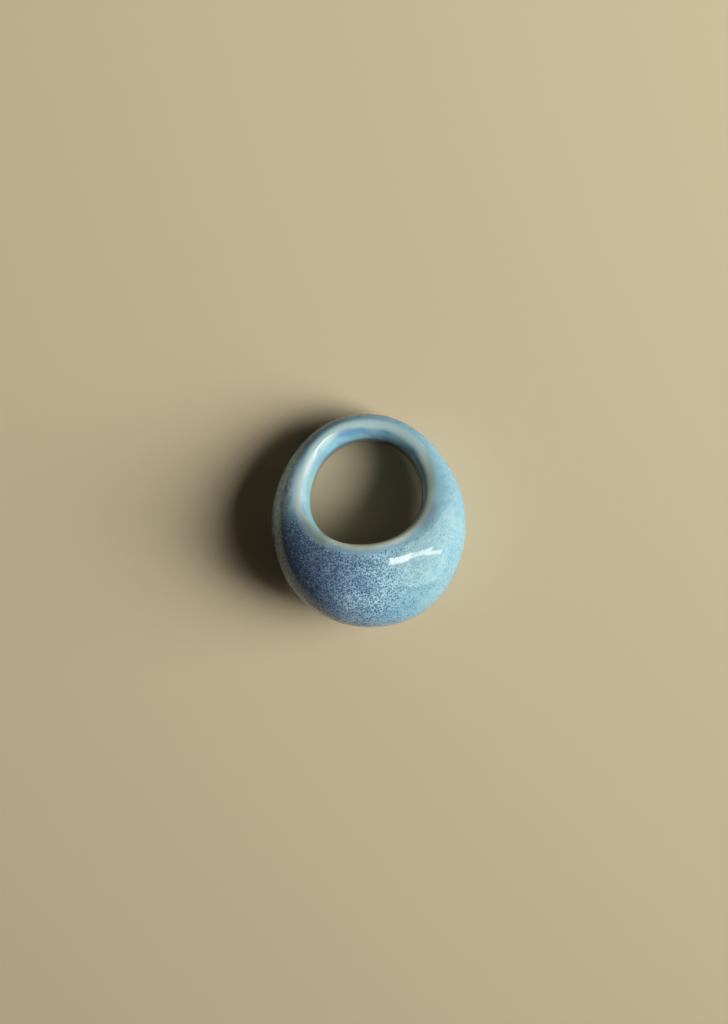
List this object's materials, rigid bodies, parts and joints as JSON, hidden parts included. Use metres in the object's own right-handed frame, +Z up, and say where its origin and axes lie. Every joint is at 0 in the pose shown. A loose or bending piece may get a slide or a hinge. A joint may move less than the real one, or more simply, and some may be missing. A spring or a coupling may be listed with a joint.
{
  "type": "ring slide",
  "caption": "Glazed ceramic ring slide for a finger: a narrow band swells into a speckled dome that glides over strings; rests on two bare clay feet.",
  "frame": {"origin": "middle of the base of the whole ring's box, on the surface that it rests on", "axes": "+Z up from the resting surface; the dome points to -Y and the back of the band to +Y; X = 0 is the mirror plane. The finger bore's axis leans 10.2 degrees from +Z towards +Y, as the ring lies on its feet."},
  "size_m": [0.0318, 0.0352, 0.0155],
  "materials": {
    "fired_clay": "bare fired stoneware, fine matte grain, seen only on the two feet",
    "speckled_glaze": "glossy pale blue glaze with dense fine cobalt speckle, breaking to cream on the rims",
    "lining_glaze": "glossy smooth mid blue glaze, paler where it thins towards the rims"
  },
  "bodies": {
    "root": {"clay_body": "fired_clay", "outer_glaze": "speckled_glaze", "bore_glaze": "lining_glaze"}
  },
  "joints": []
}
